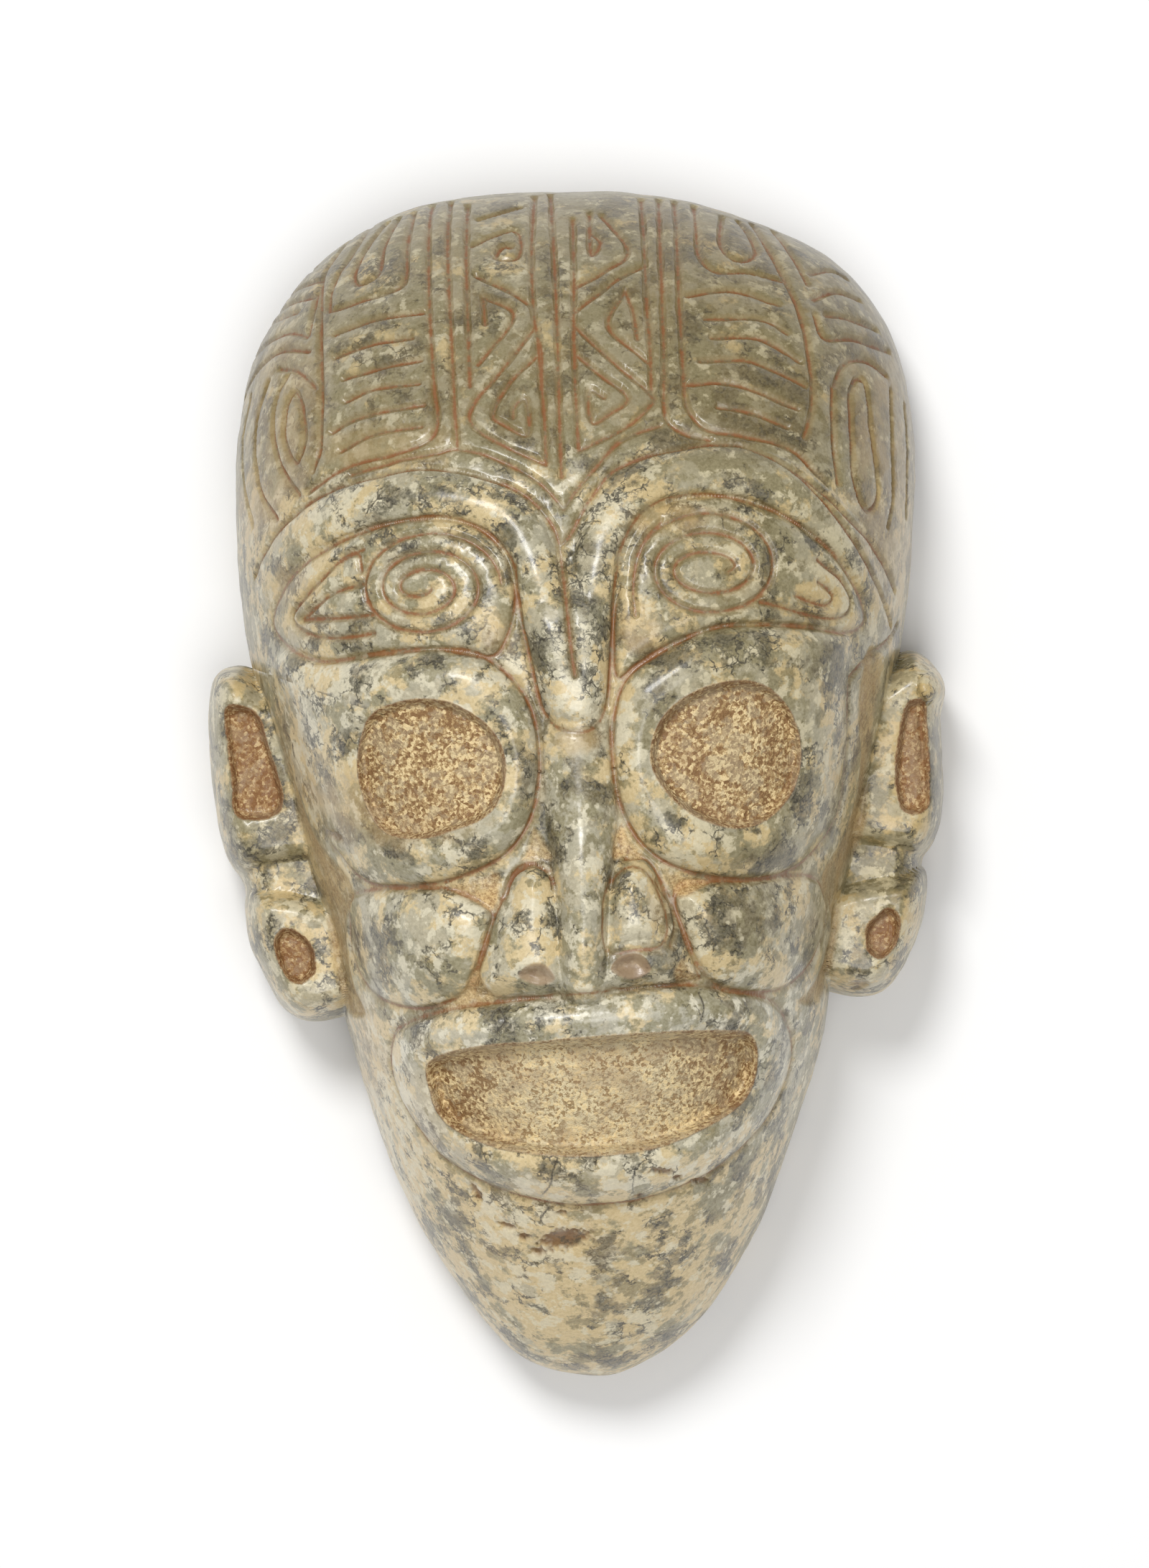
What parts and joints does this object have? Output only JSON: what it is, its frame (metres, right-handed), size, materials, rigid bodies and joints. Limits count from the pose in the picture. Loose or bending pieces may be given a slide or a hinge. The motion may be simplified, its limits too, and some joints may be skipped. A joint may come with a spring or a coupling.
{
  "type": "stone mask",
  "caption": "Hollow-backed carved stone mask with a domed banded forehead, spiral eyelids, round sunk eyes, lobed ears and an open mouth.",
  "frame": {"origin": "middle of the outline's width and height, in the plane of the flat rim that the mask lies on", "axes": "+Z out of the face, +Y to the crown, +X towards the ear on the right as the face is seen"},
  "size_m": [0.1369, 0.2199, 0.0879],
  "materials": {
    "stone": "waxy polish over mottled grey-green and cream stone"
  },
  "bodies": {
    "root": {"stone_mask": "stone"}
  },
  "joints": []
}
